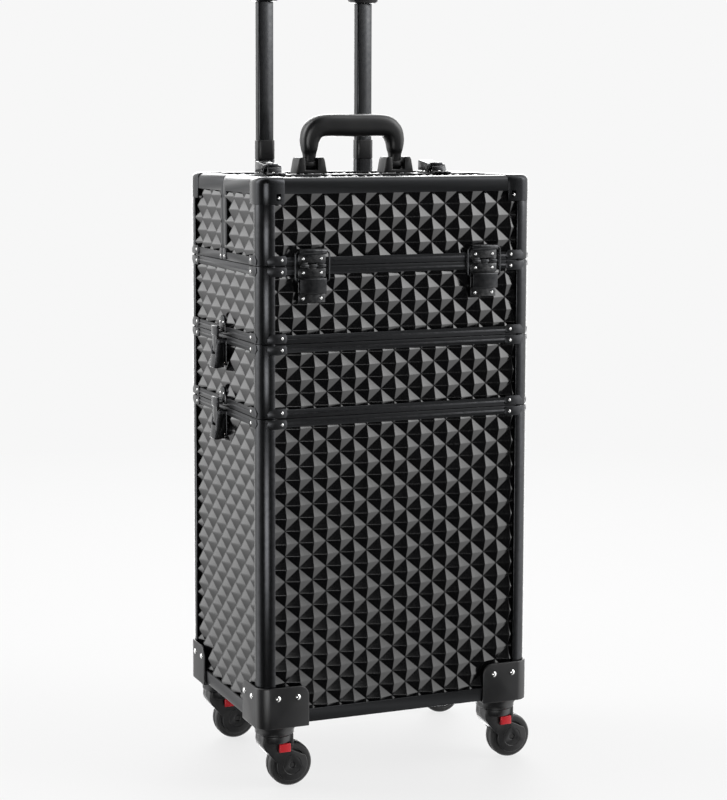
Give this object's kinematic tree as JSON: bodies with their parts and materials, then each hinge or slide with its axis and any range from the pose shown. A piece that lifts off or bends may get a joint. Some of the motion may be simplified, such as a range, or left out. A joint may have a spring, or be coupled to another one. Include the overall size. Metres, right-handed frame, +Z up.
{
  "type": "makeup train case",
  "caption": "Tall rolling makeup train case of three stacked black sections with a split lid, stay hinges, draw latches, carry handle, telescopic trolley and swivel casters.",
  "frame": {"origin": "on the floor under the centre of the whole part's bounding box", "axes": "+X to the case's right as seen from its front, +Y to its back where the trolley is, +Z up"},
  "size_m": [0.368, 0.2756, 0.946],
  "materials": {
    "frame_aluminium": "black satin anodised",
    "panel_gloss": "gloss diamond relief",
    "latch_steel": "black satin plated",
    "moulded_plastic": "satin black",
    "wheel_rubber": "satin",
    "release_red": "gloss",
    "tube_aluminium": "black satin anodised",
    "tray_plastic": "matt black"
  },
  "bodies": {
    "base": {"base_frame": "frame_aluminium", "base_shell": "panel_gloss", "front_left_caster_housing": "moulded_plastic", "front_right_caster_housing": "moulded_plastic", "rear_left_caster_housing": "moulded_plastic", "rear_right_caster_housing": "moulded_plastic", "trolley_outer_tube_left": "tube_aluminium", "trolley_outer_tube_right": "tube_aluminium", "trolley_bracket": "moulded_plastic"},
    "mid_section": {"mid_frame": "frame_aluminium", "mid_shell": "panel_gloss"},
    "top_section": {"top_frame": "frame_aluminium", "top_shell": "panel_gloss"},
    "front_lid": {"front_lid_frame": "frame_aluminium", "front_lid_shell": "panel_gloss"},
    "rear_lid": {"rear_lid_frame": "frame_aluminium", "rear_lid_shell": "panel_gloss", "handle_bracket_left": "moulded_plastic", "handle_bracket_right": "moulded_plastic"},
    "handle": {"carry_handle": "moulded_plastic"},
    "trolley": {"trolley_inner_tube_left": "tube_aluminium", "trolley_inner_tube_right": "tube_aluminium", "trolley_grip": "moulded_plastic"},
    "trolley_button": {"trolley_button": "moulded_plastic"},
    "front_ring_left": {"front_ring_left": "latch_steel"},
    "front_ring_right": {"front_ring_right": "latch_steel"},
    "front_link_outer": {"front_link_outer": "latch_steel"},
    "front_link_inner": {"front_link_inner": "latch_steel"},
    "front_tray_lower": {"front_tray_lower": "tray_plastic"},
    "front_tray_upper": {"front_tray_upper": "tray_plastic"},
    "rear_ring_left": {"rear_ring_left": "latch_steel"},
    "rear_ring_right": {"rear_ring_right": "latch_steel"},
    "rear_link_outer": {"rear_link_outer": "latch_steel"},
    "rear_link_inner": {"rear_link_inner": "latch_steel"},
    "rear_tray_lower": {"rear_tray_lower": "tray_plastic"},
    "rear_tray_upper": {"rear_tray_upper": "tray_plastic"},
    "top_left_latch_lever": {"top_left_latch_lever": "latch_steel"},
    "top_left_latch_hook": {"top_left_latch_hook": "latch_steel"},
    "top_right_latch_lever": {"top_right_latch_lever": "latch_steel"},
    "top_right_latch_hook": {"top_right_latch_hook": "latch_steel"},
    "upper_left_latch_lever": {"upper_left_latch_lever": "latch_steel"},
    "upper_left_latch_hook": {"upper_left_latch_hook": "latch_steel"},
    "upper_right_latch_lever": {"upper_right_latch_lever": "latch_steel"},
    "upper_right_latch_hook": {"upper_right_latch_hook": "latch_steel"},
    "lower_left_latch_lever": {"lower_left_latch_lever": "latch_steel"},
    "lower_left_latch_hook": {"lower_left_latch_hook": "latch_steel"},
    "lower_right_latch_lever": {"lower_right_latch_lever": "latch_steel"},
    "lower_right_latch_hook": {"lower_right_latch_hook": "latch_steel"},
    "front_left_fork": {"front_left_caster_fork": "moulded_plastic"},
    "front_left_wheel": {"front_left_wheel": "wheel_rubber"},
    "front_left_tab": {"front_left_release_tab": "release_red"},
    "front_right_fork": {"front_right_caster_fork": "moulded_plastic"},
    "front_right_wheel": {"front_right_wheel": "wheel_rubber"},
    "front_right_tab": {"front_right_release_tab": "release_red"},
    "rear_left_fork": {"rear_left_caster_fork": "moulded_plastic"},
    "rear_left_wheel": {"rear_left_wheel": "wheel_rubber"},
    "rear_left_tab": {"rear_left_release_tab": "release_red"},
    "rear_right_fork": {"rear_right_caster_fork": "moulded_plastic"},
    "rear_right_wheel": {"rear_right_wheel": "wheel_rubber"},
    "rear_right_tab": {"rear_right_release_tab": "release_red"}
  },
  "joints": [
    {"name": "mid_lift", "type": "slide", "parent": "base", "child": "mid_section", "axis": [0, 0, 1], "range_m": [0, 0.1]},
    {"name": "top_lift", "type": "slide", "parent": "mid_section", "child": "top_section", "axis": [0, 0, 1], "range_m": [0, 0.1]},
    {"name": "front_lid_hinge", "type": "hinge", "parent": "top_section", "child": "front_lid", "pos_m": [0, -0.1342, 0.5995], "axis": [1, 0, 0], "range_deg": [0, 95]},
    {"name": "rear_lid_hinge", "type": "hinge", "parent": "top_section", "child": "rear_lid", "pos_m": [0, 0.1148, 0.5995], "axis": [-1, 0, 0], "range_deg": [0, 3]},
    {"name": "handle_pivot", "type": "hinge", "parent": "rear_lid", "child": "handle", "pos_m": [0, 0.0048, 0.7085], "axis": [1, 0, 0], "range_deg": [-80, 80]},
    {"name": "trolley_slide", "type": "slide", "parent": "base", "child": "trolley", "axis": [0, 0, 1], "range_m": [-0.165, 0]},
    {"name": "trolley_button_press", "type": "slide", "parent": "trolley", "child": "trolley_button", "axis": [0, 0, -1], "range_m": [0, 0.0035], "stiffness_N_per_m": 400},
    {"name": "front_ring_left_pivot", "type": "hinge", "parent": "front_lid", "child": "front_ring_left", "pos_m": [-0.1065, -0.1332, 0.6155], "axis": [1, 0, 0], "range_deg": [-60, 0]},
    {"name": "front_ring_right_pivot", "type": "hinge", "parent": "front_lid", "child": "front_ring_right", "pos_m": [0.1065, -0.1332, 0.6155], "axis": [1, 0, 0], "range_deg": [-60, 0]},
    {"name": "front_link_outer_pivot", "type": "hinge", "parent": "top_section", "child": "front_link_outer", "pos_m": [0, -0.1134, 0.589], "axis": [1, 0, 0], "range_deg": [0, 75.1]},
    {"name": "front_link_inner_pivot", "type": "hinge", "parent": "top_section", "child": "front_link_inner", "pos_m": [0, -0.0905, 0.589], "axis": [1, 0, 0], "range_deg": [0, 75.1]},
    {"name": "front_tray_lower_pivot", "type": "hinge", "parent": "front_link_outer", "child": "front_tray_lower", "pos_m": [0, -0.08276, 0.61471], "axis": [1, 0, 0], "range_deg": [-75.1, 0]},
    {"name": "front_tray_upper_pivot", "type": "hinge", "parent": "front_link_outer", "child": "front_tray_upper", "pos_m": [0, -0.05212, 0.64042], "axis": [1, 0, 0], "range_deg": [-75.1, 0]},
    {"name": "rear_ring_left_pivot", "type": "hinge", "parent": "rear_lid", "child": "rear_ring_left", "pos_m": [-0.1065, 0.1138, 0.6155], "axis": [-1, 0, 0], "range_deg": [-60, 0]},
    {"name": "rear_ring_right_pivot", "type": "hinge", "parent": "rear_lid", "child": "rear_ring_right", "pos_m": [0.1065, 0.1138, 0.6155], "axis": [-1, 0, 0], "range_deg": [-60, 0]},
    {"name": "rear_link_outer_pivot", "type": "hinge", "parent": "top_section", "child": "rear_link_outer", "pos_m": [0, 0.094, 0.589], "axis": [-1, 0, 0], "range_deg": [0, 75.1]},
    {"name": "rear_link_inner_pivot", "type": "hinge", "parent": "top_section", "child": "rear_link_inner", "pos_m": [0, 0.0711, 0.589], "axis": [-1, 0, 0], "range_deg": [0, 75.1]},
    {"name": "rear_tray_lower_pivot", "type": "hinge", "parent": "rear_link_outer", "child": "rear_tray_lower", "pos_m": [0, 0.06336, 0.61471], "axis": [-1, 0, 0], "range_deg": [-75.1, 0]},
    {"name": "rear_tray_upper_pivot", "type": "hinge", "parent": "rear_link_outer", "child": "rear_tray_upper", "pos_m": [0, 0.03272, 0.64042], "axis": [-1, 0, 0], "range_deg": [-75.1, 0]},
    {"name": "top_left_latch_lever_pivot", "type": "hinge", "parent": "rear_lid", "child": "top_left_latch_lever", "pos_m": [-0.106, -0.0027, 0.704], "axis": [1, 0, 0], "range_deg": [0, 95]},
    {"name": "top_left_latch_hook_pivot", "type": "hinge", "parent": "top_left_latch_lever", "child": "top_left_latch_hook", "pos_m": [-0.106, 0.0078, 0.7055], "axis": [1, 0, 0], "range_deg": [-95, 0]},
    {"name": "top_right_latch_lever_pivot", "type": "hinge", "parent": "rear_lid", "child": "top_right_latch_lever", "pos_m": [0.106, -0.0027, 0.704], "axis": [1, 0, 0], "range_deg": [0, 95]},
    {"name": "top_right_latch_hook_pivot", "type": "hinge", "parent": "top_right_latch_lever", "child": "top_right_latch_hook", "pos_m": [0.106, 0.0078, 0.7055], "axis": [1, 0, 0], "range_deg": [-95, 0]},
    {"name": "upper_left_latch_lever_pivot", "type": "hinge", "parent": "mid_section", "child": "upper_left_latch_lever", "pos_m": [-0.1745, -0.0097, 0.5055], "axis": [0, 1, 0], "range_deg": [0, 95]},
    {"name": "upper_left_latch_hook_pivot", "type": "hinge", "parent": "upper_left_latch_lever", "child": "upper_left_latch_hook", "pos_m": [-0.176, -0.0097, 0.495], "axis": [0, 1, 0], "range_deg": [-95, 0]},
    {"name": "upper_right_latch_lever_pivot", "type": "hinge", "parent": "mid_section", "child": "upper_right_latch_lever", "pos_m": [0.1745, -0.0097, 0.5055], "axis": [0, -1, 0], "range_deg": [0, 95]},
    {"name": "upper_right_latch_hook_pivot", "type": "hinge", "parent": "upper_right_latch_lever", "child": "upper_right_latch_hook", "pos_m": [0.176, -0.0097, 0.495], "axis": [0, -1, 0], "range_deg": [-95, 0]},
    {"name": "lower_left_latch_lever_pivot", "type": "hinge", "parent": "base", "child": "lower_left_latch_lever", "pos_m": [-0.1745, -0.0097, 0.422], "axis": [0, 1, 0], "range_deg": [0, 95]},
    {"name": "lower_left_latch_hook_pivot", "type": "hinge", "parent": "lower_left_latch_lever", "child": "lower_left_latch_hook", "pos_m": [-0.176, -0.0097, 0.4115], "axis": [0, 1, 0], "range_deg": [-95, 0]},
    {"name": "lower_right_latch_lever_pivot", "type": "hinge", "parent": "base", "child": "lower_right_latch_lever", "pos_m": [0.1745, -0.0097, 0.422], "axis": [0, -1, 0], "range_deg": [0, 95]},
    {"name": "lower_right_latch_hook_pivot", "type": "hinge", "parent": "lower_right_latch_lever", "child": "lower_right_latch_hook", "pos_m": [0.176, -0.0097, 0.4115], "axis": [0, -1, 0], "range_deg": [-95, 0]},
    {"name": "front_left_swivel", "type": "hinge", "parent": "base", "child": "front_left_fork", "pos_m": [-0.141, -0.1037, 0.05], "axis": [0, 0, 1], "continuous": true},
    {"name": "front_left_wheel_spin", "type": "hinge", "parent": "front_left_fork", "child": "front_left_wheel", "pos_m": [-0.124, -0.1037, 0.026], "axis": [0, 1, 0], "continuous": true},
    {"name": "front_left_tab_press", "type": "slide", "parent": "front_left_fork", "child": "front_left_tab", "axis": [0, 1, 0], "range_m": [0, 0.0019], "stiffness_N_per_m": 600},
    {"name": "front_right_swivel", "type": "hinge", "parent": "base", "child": "front_right_fork", "pos_m": [0.141, -0.1037, 0.05], "axis": [0, 0, 1], "continuous": true},
    {"name": "front_right_wheel_spin", "type": "hinge", "parent": "front_right_fork", "child": "front_right_wheel", "pos_m": [0.158, -0.1037, 0.026], "axis": [0, 1, 0], "continuous": true},
    {"name": "front_right_tab_press", "type": "slide", "parent": "front_right_fork", "child": "front_right_tab", "axis": [0, 1, 0], "range_m": [0, 0.0019], "stiffness_N_per_m": 600},
    {"name": "rear_left_swivel", "type": "hinge", "parent": "base", "child": "rear_left_fork", "pos_m": [-0.141, 0.0843, 0.05], "axis": [0, 0, 1], "continuous": true},
    {"name": "rear_left_wheel_spin", "type": "hinge", "parent": "rear_left_fork", "child": "rear_left_wheel", "pos_m": [-0.124, 0.0843, 0.026], "axis": [0, 1, 0], "continuous": true},
    {"name": "rear_left_tab_press", "type": "slide", "parent": "rear_left_fork", "child": "rear_left_tab", "axis": [0, 1, 0], "range_m": [0, 0.0019], "stiffness_N_per_m": 600},
    {"name": "rear_right_swivel", "type": "hinge", "parent": "base", "child": "rear_right_fork", "pos_m": [0.141, 0.0843, 0.05], "axis": [0, 0, 1], "continuous": true},
    {"name": "rear_right_wheel_spin", "type": "hinge", "parent": "rear_right_fork", "child": "rear_right_wheel", "pos_m": [0.158, 0.0843, 0.026], "axis": [0, 1, 0], "continuous": true},
    {"name": "rear_right_tab_press", "type": "slide", "parent": "rear_right_fork", "child": "rear_right_tab", "axis": [0, 1, 0], "range_m": [0, 0.0019], "stiffness_N_per_m": 600}
  ],
  "couplings": [
    {"joint": "front_ring_left_pivot", "follows": "front_lid_hinge", "ratio": -0.63},
    {"joint": "front_ring_right_pivot", "follows": "front_lid_hinge", "ratio": -0.63},
    {"joint": "front_link_outer_pivot", "follows": "front_lid_hinge", "ratio": 0.79},
    {"joint": "front_link_inner_pivot", "follows": "front_lid_hinge", "ratio": 0.79},
    {"joint": "front_tray_lower_pivot", "follows": "front_lid_hinge", "ratio": -0.79},
    {"joint": "front_tray_upper_pivot", "follows": "front_lid_hinge", "ratio": -0.79},
    {"joint": "rear_ring_left_pivot", "follows": "rear_lid_hinge", "ratio": -0.63},
    {"joint": "rear_ring_right_pivot", "follows": "rear_lid_hinge", "ratio": -0.63},
    {"joint": "rear_link_outer_pivot", "follows": "rear_lid_hinge", "ratio": 0.79},
    {"joint": "rear_link_inner_pivot", "follows": "rear_lid_hinge", "ratio": 0.79},
    {"joint": "rear_tray_lower_pivot", "follows": "rear_lid_hinge", "ratio": -0.79},
    {"joint": "rear_tray_upper_pivot", "follows": "rear_lid_hinge", "ratio": -0.79},
    {"joint": "top_left_latch_hook_pivot", "follows": "top_left_latch_lever_pivot", "ratio": -1},
    {"joint": "top_right_latch_hook_pivot", "follows": "top_right_latch_lever_pivot", "ratio": -1},
    {"joint": "upper_left_latch_hook_pivot", "follows": "upper_left_latch_lever_pivot", "ratio": -1},
    {"joint": "upper_right_latch_hook_pivot", "follows": "upper_right_latch_lever_pivot", "ratio": -1},
    {"joint": "lower_left_latch_hook_pivot", "follows": "lower_left_latch_lever_pivot", "ratio": -1},
    {"joint": "lower_right_latch_hook_pivot", "follows": "lower_right_latch_lever_pivot", "ratio": -1}
  ]
}
